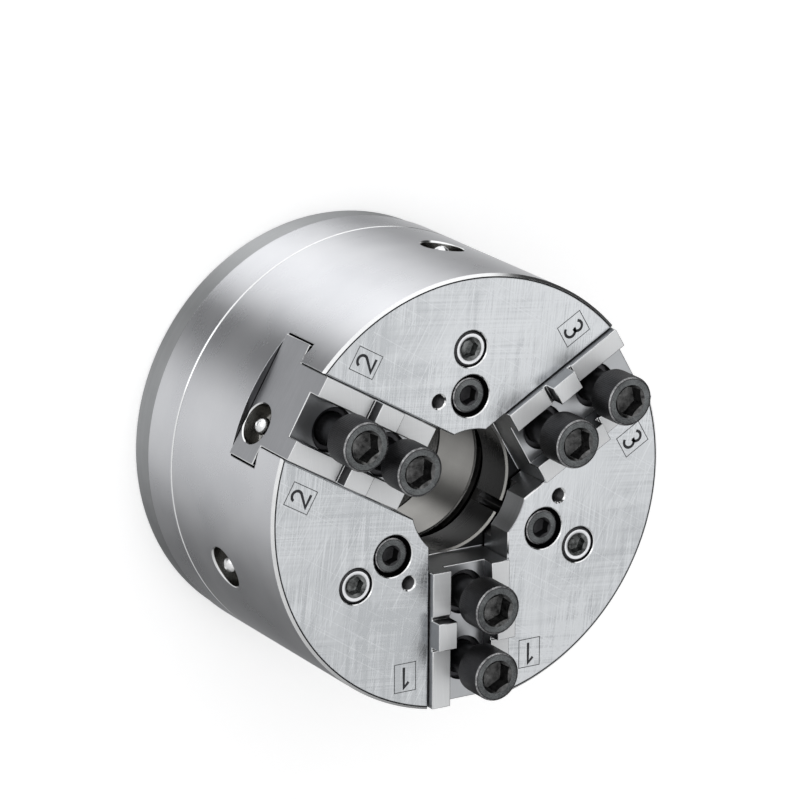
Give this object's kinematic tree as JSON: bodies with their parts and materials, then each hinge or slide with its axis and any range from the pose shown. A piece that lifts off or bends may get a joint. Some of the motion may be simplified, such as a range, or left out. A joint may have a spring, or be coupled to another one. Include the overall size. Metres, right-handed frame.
{
  "type": "power chuck",
  "caption": "Three-jaw wedge-hook power chuck: T-slotted body, sliding base jaws with cross tenons, wedge piston and a plain through bore.",
  "frame": {"origin": "centre of the rear mounting face, on the spindle axis", "axes": "+Z along the spindle axis, out of the jaw face; -Y along jaw 1, and jaws 2 and 3 follow clockwise seen from the jaw face"},
  "size_m": [0.1596, 0.1596, 0.122],
  "materials": {
    "ground_steel": "ground and turned, satin",
    "hardened_steel": "hardened and ground",
    "blackened_steel": "black oxide",
    "bright_steel": "bright, zinc plated",
    "seal_rubber": "matt"
  },
  "bodies": {
    "chuck": {"chuck_body": "ground_steel", "rear_plate": "ground_steel", "wiper_ring": "seal_rubber", "body_seal": "seal_rubber", "dowel_pin": "bright_steel", "guide_block_1": "hardened_steel", "guide_block_2": "hardened_steel", "guide_block_3": "hardened_steel", "block_screw_1": "blackened_steel", "block_screw_2": "blackened_steel", "block_screw_3": "blackened_steel", "mount_screw_1": "bright_steel", "mount_screw_2": "bright_steel", "mount_screw_3": "bright_steel", "body_nipple_1": "bright_steel", "body_nipple_2": "bright_steel", "body_nipple_3": "bright_steel", "plate_screw_1": "blackened_steel", "plate_screw_2": "blackened_steel", "plate_screw_3": "blackened_steel", "plate_screw_4": "blackened_steel", "plate_screw_5": "blackened_steel", "plate_screw_6": "blackened_steel"},
    "piston": {"wedge_piston": "hardened_steel", "snap_ring": "blackened_steel"},
    "draw_nut": {"draw_nut": "hardened_steel"},
    "jaw_1": {"base_jaw_1": "ground_steel", "wedge_hook_1": "hardened_steel", "jaw_screw_1_inner": "blackened_steel", "jaw_screw_1_outer": "blackened_steel", "jaw_nipple_1": "bright_steel"},
    "jaw_2": {"base_jaw_2": "ground_steel", "wedge_hook_2": "hardened_steel", "jaw_screw_2_inner": "blackened_steel", "jaw_screw_2_outer": "blackened_steel", "jaw_nipple_2": "bright_steel"},
    "jaw_3": {"base_jaw_3": "ground_steel", "wedge_hook_3": "hardened_steel", "jaw_screw_3_inner": "blackened_steel", "jaw_screw_3_outer": "blackened_steel", "jaw_nipple_3": "bright_steel"}
  },
  "joints": [
    {"name": "piston_slide", "type": "slide", "parent": "chuck", "child": "piston", "axis": [0, 0, 1], "range_m": [-0.008, 0.008]},
    {"name": "jaw_1_slide", "type": "slide", "parent": "chuck", "child": "jaw_1", "axis": [0, -1, 0], "range_m": [-0.00215, 0.00215]},
    {"name": "jaw_2_slide", "type": "slide", "parent": "chuck", "child": "jaw_2", "axis": [-0.866, 0.5, 0], "range_m": [-0.00215, 0.00215]},
    {"name": "jaw_3_slide", "type": "slide", "parent": "chuck", "child": "jaw_3", "axis": [0.866, 0.5, 0], "range_m": [-0.00215, 0.00215]},
    {"name": "draw_nut_turn", "type": "hinge", "parent": "piston", "child": "draw_nut", "pos_m": [0, 0, 0.029], "axis": [0, 0, 1], "continuous": true}
  ],
  "couplings": [
    {"joint": "jaw_1_slide", "follows": "piston_slide", "ratio": 0.26795},
    {"joint": "jaw_2_slide", "follows": "piston_slide", "ratio": 0.26795},
    {"joint": "jaw_3_slide", "follows": "piston_slide", "ratio": 0.26795}
  ]
}
